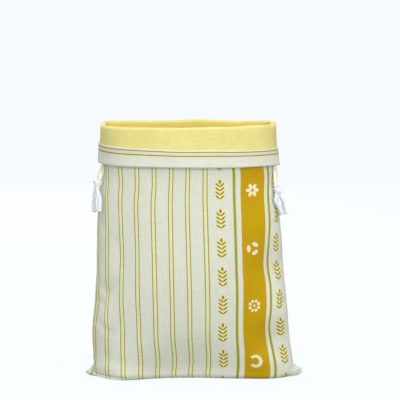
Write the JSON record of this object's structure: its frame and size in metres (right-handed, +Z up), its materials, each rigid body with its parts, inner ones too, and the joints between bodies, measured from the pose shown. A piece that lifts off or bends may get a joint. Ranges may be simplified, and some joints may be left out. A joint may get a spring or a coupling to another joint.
{
  "type": "bread bag",
  "caption": "Lined cotton bread bag standing open with its top turned down as a cuff, a sewn casing round the cuff, drawcord ends knotted at both sides and small pointed bottom corners.",
  "frame": {"origin": "on the floor, under the middle of the bag's box", "axes": "+Z up, the bag's printed front faces -Y, +X to the right as seen from the front"},
  "size_m": [0.32, 0.1224, 0.372],
  "materials": {
    "canvas": "printed cotton canvas, matt",
    "lining": "dyed cotton, matt",
    "casing": "printed cotton canvas, matt",
    "cord": "soft cotton cord, matt"
  },
  "bodies": {
    "root": {"outer_bag": "canvas", "lining": "lining", "casing_front": "casing", "casing_back": "casing", "cord_left_1": "cord", "cord_left_2": "cord", "knot_left": "cord", "tail_left_1": "cord", "tail_left_2": "cord", "cord_right_1": "cord", "cord_right_2": "cord", "knot_right": "cord", "tail_right_1": "cord", "tail_right_2": "cord"}
  },
  "joints": []
}
